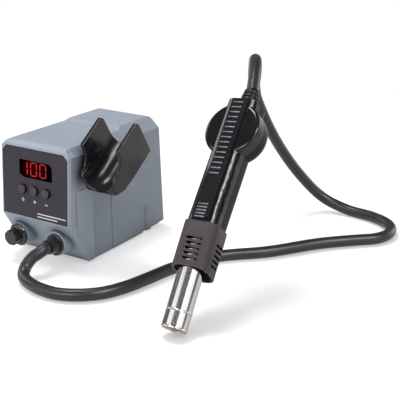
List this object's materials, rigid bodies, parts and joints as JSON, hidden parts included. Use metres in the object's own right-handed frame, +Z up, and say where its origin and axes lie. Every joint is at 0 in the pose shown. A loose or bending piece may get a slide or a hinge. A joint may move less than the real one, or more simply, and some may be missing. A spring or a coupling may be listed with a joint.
{
  "type": "hot-air rework station",
  "caption": "Bench hot-air rework station: a box with a leaning control panel, display and airflow knob, a side cradle, and a hot-air gun on a flexible hose, standing on its nozzle.",
  "frame": {"origin": "on the surface that the station's feet stand on, under the middle of the box", "axes": "+Z up, the control panel faces -Y, and +X points from the box towards its cradle and the gun"},
  "size_m": [0.3201, 0.3601, 0.1999],
  "materials": {
    "cover_plastic": "fine moulded texture, blue-grey",
    "bezel_plastic": "fine moulded texture, a lighter blue-grey",
    "tray_plastic": "fine moulded texture",
    "rear_plate": "satin powder coat",
    "foot_rubber": "matte",
    "screw_steel": "zinc plated",
    "panel_plate": "satin, near-black brown",
    "display_filter": "tinted gloss",
    "display_light": "lit red segments",
    "inner_black_plastic": "plain",
    "board_laminate": "solder mask",
    "part_cases": "plain",
    "button_plastic": "satin",
    "knob_plastic": "satin black",
    "pot_metal": "pressed can",
    "gland_plastic": "satin black",
    "sink_aluminium": "extruded",
    "transformer_steel": "varnished laminations",
    "inlet_plastic": "black",
    "cradle_plastic": "black, soft gloss",
    "handle_plastic": "black, polished",
    "fan_plastic": "plain",
    "collar_plastic": "heat resistant, brown-black",
    "nozzle_steel": "polished, warm where it meets the heat",
    "heater_ceramic": "unglazed ceramic",
    "heater_wire": "oxidised resistance wire",
    "mica": "laminated mica",
    "boot_rubber": "satin",
    "hose_rubber": "satin black, slightly ribbed sheath"
  },
  "bodies": {
    "station": {"base_tray": "tray_plastic", "housing_cover": "cover_plastic", "front_bezel": "bezel_plastic", "rear_panel": "rear_plate", "feet": "foot_rubber", "base_screws": "screw_steel", "rear_screws": "screw_steel", "front_panel": "panel_plate", "display_window": "display_filter", "display_digits": "display_light", "display_module": "inner_black_plastic", "front_board": "board_laminate", "tact_switches": "inner_black_plastic", "flow_pot": "pot_metal", "hose_gland": "gland_plastic", "gland_nut": "inner_black_plastic", "main_board": "board_laminate", "board_parts": "part_cases", "heat_sink": "sink_aluminium", "transformer": "transformer_steel", "mains_inlet": "inlet_plastic", "rocker_frame": "inlet_plastic", "cradle": "cradle_plastic", "cradle_bracket": "cradle_plastic", "cradle_screws": "screw_steel", "cradle_magnet": "screw_steel", "hose": "hose_rubber"},
    "btn_power": {"button_power": "button_plastic"},
    "btn_up": {"button_up": "button_plastic"},
    "btn_down": {"button_down": "button_plastic"},
    "knob": {"flow_knob": "knob_plastic"},
    "rocker": {"power_rocker": "inlet_plastic"},
    "gun": {"handle_front": "handle_plastic", "handle_rear": "handle_plastic", "grip_strip": "handle_plastic", "handle_screws": "screw_steel", "fan_cover": "handle_plastic", "fan_motor": "screw_steel", "reed_board": "board_laminate", "heat_collar": "collar_plastic", "nozzle_tube": "nozzle_steel", "nozzle_tip": "nozzle_steel", "heater_core": "heater_ceramic", "heater_coil": "heater_wire", "mica_liner": "mica", "cable_boot": "boot_rubber"},
    "fan": {"fan_impeller": "fan_plastic"}
  },
  "joints": [
    {"name": "power_button_push", "type": "slide", "parent": "station", "child": "btn_power", "axis": [0, 0.9978, -0.067], "range_m": [0, 0.0008], "stiffness_N_per_m": 600, "springref_m": -0.002},
    {"name": "up_button_push", "type": "slide", "parent": "station", "child": "btn_up", "axis": [0, 0.9978, -0.067], "range_m": [0, 0.0008], "stiffness_N_per_m": 600, "springref_m": -0.002},
    {"name": "down_button_push", "type": "slide", "parent": "station", "child": "btn_down", "axis": [0, 0.9978, -0.067], "range_m": [0, 0.0008], "stiffness_N_per_m": 600, "springref_m": -0.002},
    {"name": "airflow_turn", "type": "hinge", "parent": "station", "child": "knob", "pos_m": [-0.0237, -0.0773, 0.0255], "axis": [0, -1, 0], "range_deg": [-140, 140]},
    {"name": "mains_rocker", "type": "hinge", "parent": "station", "child": "rocker", "pos_m": [-0.02, 0.07365, 0.0343], "axis": [0, -0.058, 0.9983], "range_deg": [-18, 0]},
    {"name": "gun_lift", "type": "slide", "parent": "station", "child": "gun", "axis": [0, 0, 1], "range_m": [0, 0.1], "deforming": ["hose"]},
    {"name": "fan_spin", "type": "hinge", "parent": "gun", "child": "fan", "pos_m": [0.18646, -0.00924, 0.14261], "axis": [0.051, 0.7235, -0.6884], "continuous": true}
  ]
}
